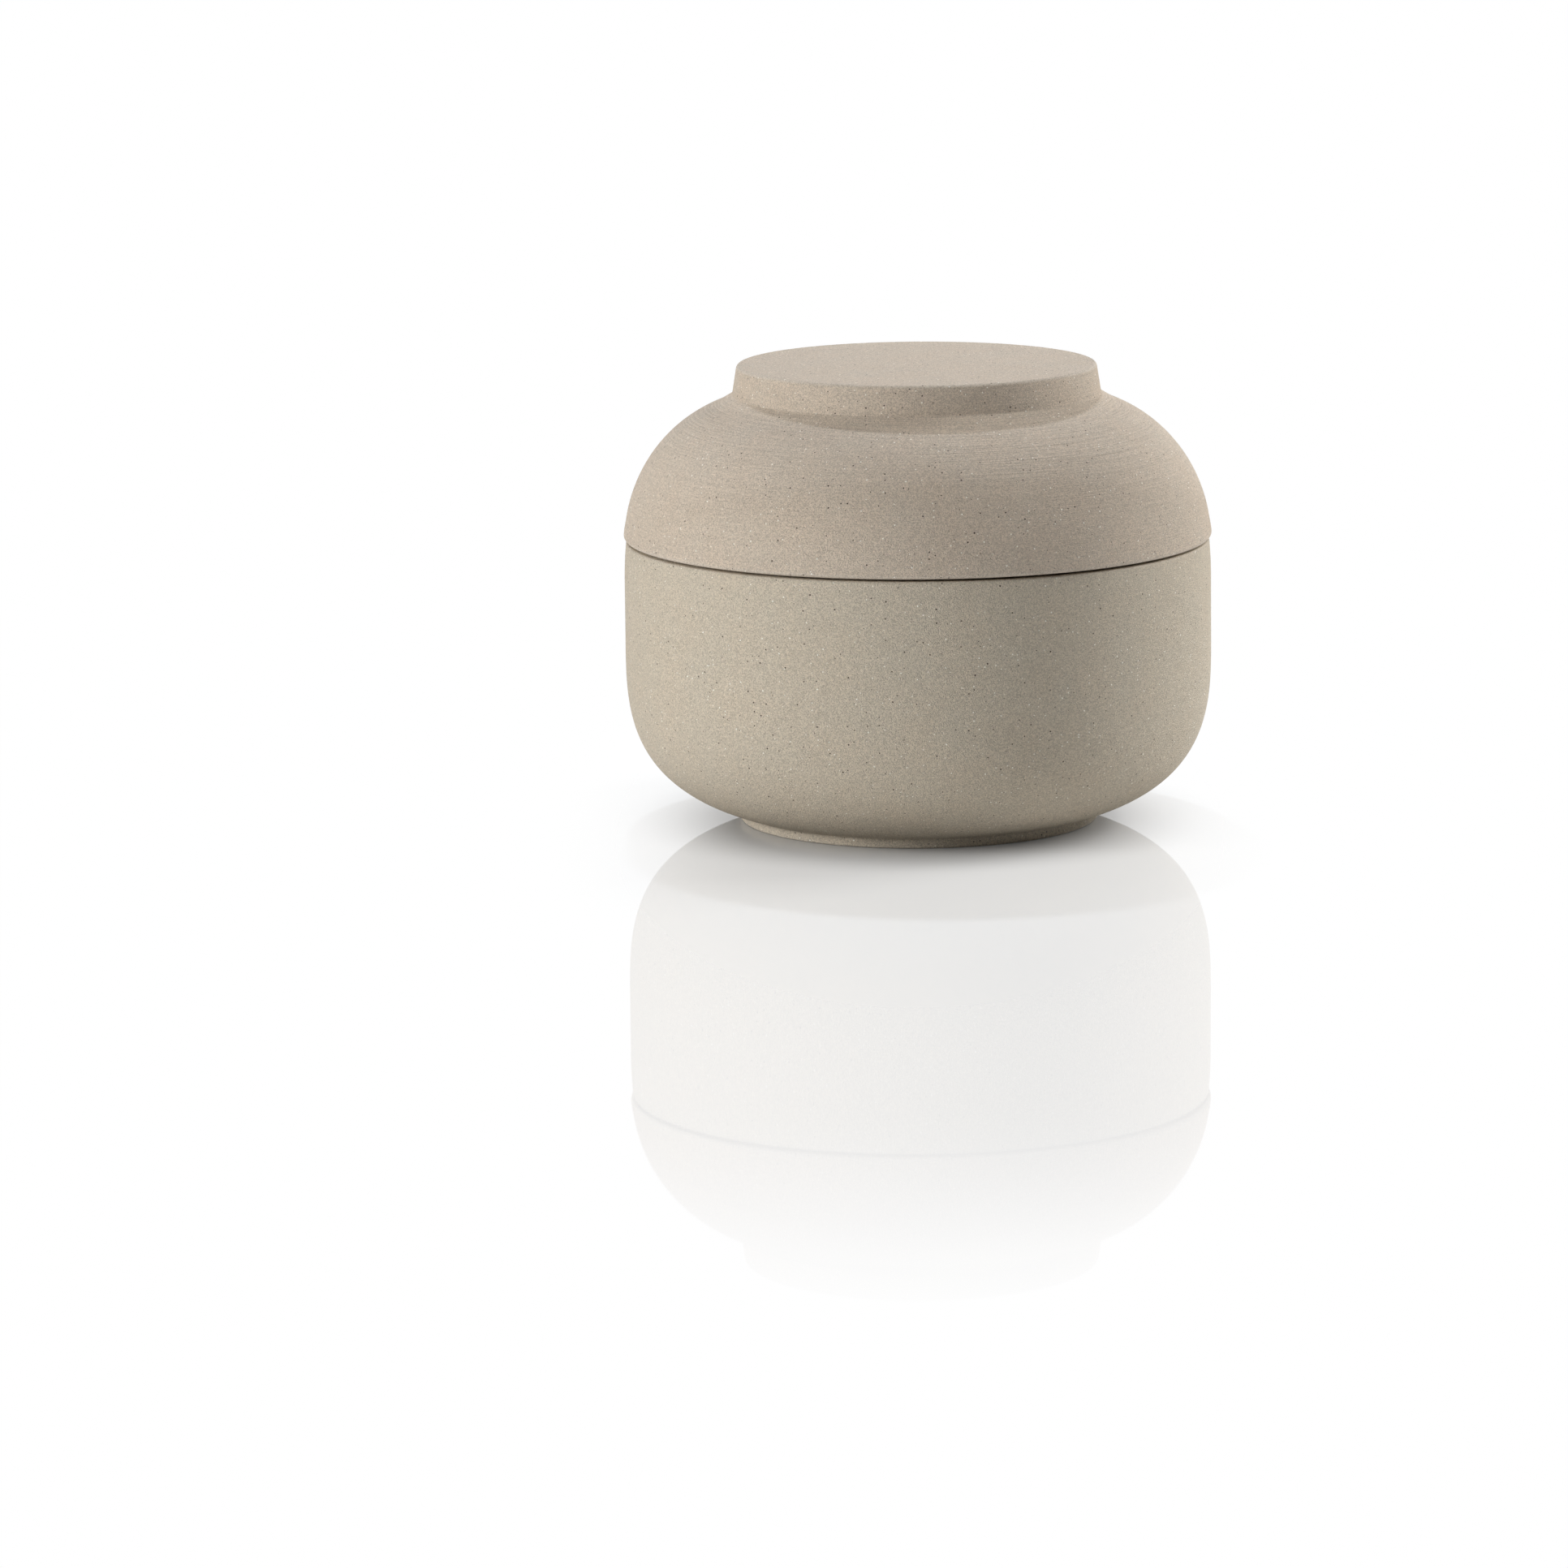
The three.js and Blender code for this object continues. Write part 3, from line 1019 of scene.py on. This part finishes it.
@dataclass(frozen=True)
class WhiteAcrylic:
    """Polished opal acrylic sheet, the table that the jar stands on, lit from below."""

    # Bright and even, with soft shadows from the lamps, a painted shadow round the foot, and a faint clear
    # mirror image that dies away towards the viewer. One colour is what the eye sees, and the two bounces are
    # what the sheet throws back on the jar; the darker bounce near the foot paints shade onto the foot.
    colour: str = "#B3B3B2"
    bounce: str = "#E3E3E2"
    bounce_in_painted_shade: str = "#8A8A89"
    polished: str = "#FFFFFF"
    # The polish, and the light that comes up through the sheet.
    roughness: float = 0.02
    ior: float = 1.49
    polish: float = 0.72
    glow: float = 0.57
    # Light within the foot ring, which shows the jar's underside from below.
    glow_under_jar: float = 0.3
    foot_bore: float = 32.0
    foot_blur: float = 1.0
    # Distances from the jar's axis between which the sheet changes, and how many times sooner it turns white
    # to the sides. Within the first two the glow and the bounce fade down towards the foot, a painted shadow.
    painted_shadow_full_until: float = 30.0
    painted_shadow_ends: float = 65.0
    spread: float = 3.0
    shaded_until: float = 100.0
    white_from: float = 230.0
    mirror_until: float = 270.0
    mirror_ends: float = 440.0

    def _fade(
        self,
        tree: bpy.types.NodeTree,
        start: float,
        end: float,
        values: tuple[float, float],
        spread: float = 1.0,
    ) -> bpy.types.NodeSocket:
        """A value that changes smoothly with the distance from the jar's axis.

        Args:
            tree: The material's tree.
            start: Distance at which the change starts, in front of the jar and behind it.
            end: Distance at which it is complete.
            values: The values before and after it.
            spread: How many times sooner it comes to the sides.

        Returns:
            The value's socket.
        """
        place = add_node(tree, "ShaderNodeTexCoord", output="Object")
        wide = add_node(tree, "ShaderNodeVectorMath", {0: place, 1: (spread, 1.0, 1.0)}, operation="MULTIPLY")
        distance = add_node(tree, "ShaderNodeVectorMath", {0: wide}, "Value", operation="LENGTH")
        return add_node(
            tree,
            "ShaderNodeMapRange",
            {
                "Value": distance,
                "From Min": start * MM,
                "From Max": end * MM,
                "To Min": values[0],
                "To Max": values[1],
            },
            interpolation_type="SMOOTHSTEP",
        )

    def material(self) -> bpy.types.Material:
        """The floor's material. Away from the jar it turns into the white of the backdrop."""
        material = new_material("white_acrylic_table")
        tree = material.node_tree
        seen = seen_rays(tree)
        # Painted shadow round the foot: the glow and the bounce fade down towards it.
        outside_painted_shadow = self._fade(tree, self.painted_shadow_full_until, self.painted_shadow_ends, (0.0, 1.0))
        bounce = blend(tree, outside_painted_shadow, self.bounce_in_painted_shade, self.bounce)
        sheet = add_node(tree, "ShaderNodeBsdfDiffuse", {"Color": blend(tree, seen, bounce, self.colour)})
        light = calculate(tree, "MULTIPLY", outside_painted_shadow, self.glow)
        blur_start = self.foot_bore - self.foot_blur
        under_jar = self._fade(tree, blur_start, self.foot_bore, (self.glow_under_jar, 0.0))
        strength = add_node(
            tree, "ShaderNodeMix", {"Factor": seen, "A": under_jar, "B": light}, data_type="FLOAT"
        )
        glow = add_node(tree, "ShaderNodeEmission", {"Strength": strength})
        lit = add_node(tree, "ShaderNodeAddShader", {0: sheet, 1: glow})
        white = add_node(tree, "ShaderNodeEmission", {"Strength": 1.0})
        distance = self._fade(tree, self.shaded_until, self.white_from, (0.0, 1.0), self.spread)
        whiteness = calculate(tree, "MULTIPLY", distance, seen)
        matt = add_node(tree, "ShaderNodeMixShader", {0: whiteness, 1: lit, 2: white})
        fresnel = add_node(tree, "ShaderNodeFresnel", {"IOR": self.ior})
        clearness = self._fade(tree, self.mirror_until, self.mirror_ends, (self.polish, 0.0))
        reflectance = calculate(tree, "MULTIPLY", fresnel, clearness)
        gloss = add_node(
            tree, "ShaderNodeBsdfGlossy", {"Color": linear(self.polished), "Roughness": self.roughness}
        )
        table = add_node(tree, "ShaderNodeMixShader", {0: reflectance, 1: matt, 2: gloss})
        beneath = add_node(tree, "ShaderNodeNewGeometry", output="Backfacing")
        clear = add_node(tree, "ShaderNodeBsdfTransparent")
        surface = add_node(tree, "ShaderNodeMixShader", {0: beneath, 1: table, 2: clear})
        add_node(tree, "ShaderNodeOutputMaterial", {"Surface": surface})
        return material


@dataclass
class Studio:
    """A white table, a white backdrop, and lamps to the left, to the right, behind and above."""

    floor_radius: float = 3000.0
    floor_sides: int = 96
    white: str = "#FFFFFF"
    ambient: float = 0.034
    target_height: float = 50.0
    lamps: Sequence[Lamp] = (
        Lamp("left_softbox", azimuth=-62, elevation=16, size=300, power=6.7),
        Lamp("right_softbox", azimuth=109, elevation=28, size=450, power=8.1),
        Lamp("back_lamp", azimuth=-172, elevation=56.8, size=50, power=4.2, colour="#E6F0FF"),
        Lamp("top_softbox", azimuth=0, elevation=80, size=500, power=1.3),
    )

    def build(self) -> list[bpy.types.Object]:
        """Sets up the stage.

        Returns:
            The floor and the lamps.
        """
        target = Vector((0.0, 0.0, self.target_height * MM))
        self._backdrop()
        return [self._floor(), *(lamp.build(target) for lamp in self.lamps)]

    def _floor(self) -> bpy.types.Object:
        """Lays the round table."""
        corners = [
            (math.cos(i * FULL_TURN / self.floor_sides), math.sin(i * FULL_TURN / self.floor_sides), 0.0)
            for i in range(self.floor_sides)
        ]
        mesh = bpy.data.meshes.new("table")
        mesh.from_pydata(
            [tuple(c * self.floor_radius * MM for c in corner) for corner in corners],
            [],
            [range(self.floor_sides)],
        )
        mesh.materials.append(WhiteAcrylic().material())
        table = new_object("table", mesh)
        return table

    def _backdrop(self) -> None:
        """Makes the world white to look at, and a dim even light otherwise."""
        world = bpy.data.worlds.new("backdrop")
        bpy.context.scene.world = world
        world.use_nodes = True
        tree = world.node_tree
        tree.nodes.clear()
        strength = add_node(
            tree, "ShaderNodeMapRange", {"Value": seen_rays(tree), "To Min": self.ambient, "To Max": 1.0}
        )
        light = add_node(tree, "ShaderNodeBackground", {"Color": linear(self.white), "Strength": strength})
        add_node(tree, "ShaderNodeOutputWorld", {"Surface": light})


@dataclass(frozen=True)
class PortraitCamera:
    """The camera that took the portrait, in front of the jar and a little above it."""

    distance: float = 1519.6
    height: float = 283.7
    yaw: float = math.radians(-1.047)
    pitch: float = math.radians(10.327)
    roll: float = math.radians(-0.535)
    focal_pixels: float = 9246.0
    image_pixels: float = 1932.0
    sensor: float = 36.0

    def build(self) -> bpy.types.Object:
        """Sets up the camera and makes it the scene's own.

        Returns:
            The camera's object.
        """
        data = bpy.data.cameras.new("portrait_camera")
        data.sensor_width = self.sensor
        data.lens = self.sensor * self.focal_pixels / self.image_pixels
        ahead = Vector(
            (
                math.sin(self.yaw) * math.cos(self.pitch),
                math.cos(self.yaw) * math.cos(self.pitch),
                -math.sin(self.pitch),
            )
        )
        level = Vector((math.cos(self.yaw), -math.sin(self.yaw), 0.0))
        upright = level.cross(ahead)
        right = level * math.cos(self.roll) + upright * math.sin(self.roll)
        up = upright * math.cos(self.roll) - level * math.sin(self.roll)
        camera = new_object("portrait_camera", data)
        facing = Matrix((right, up, -ahead)).transposed().to_4x4()
        camera.matrix_world = Matrix.Translation(Vector((0.0, -self.distance, self.height)) * MM) @ facing
        bpy.context.scene.camera = camera
        return camera


def main() -> None:
    """Loads the frame, builds the stage and the pieces around it, and logs what it has built."""
    logging.basicConfig(level=logging.INFO, format="%(name)s: %(message)s")
    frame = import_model()
    log.info("frame with nodes %s", ", ".join(sorted(frame["nodes"])))
    bpy.context.scene.view_settings.view_transform = "Standard"

    camera = PortraitCamera().build()
    log.info("%s, %.1f mm lens", camera.name, camera.data.lens)
    for item in Studio().build():
        log.info("stage: %s", item.name)

    wheel = TurningWheel()
    olive_clay = StonewareClay("olive_stoneware", "#CABCA8", "#C5BCAB")
    warm_clay = StonewareClay("warm_stoneware", "#CCBBA8", "#C7BBAB")
    jar = JarBody(name="jar_body", body="jar", seed=3, clay=olive_clay)
    lid = Lid(name="lid", body="lid", seed=8, clay=warm_clay, jar=jar)
    for part in (jar, lid):
        piece = part.build(wheel)
        log.info("%s: %d faces, rides on %s", piece.name, len(piece.data.polygons), part.body)


if __name__ == "__main__":
    main()
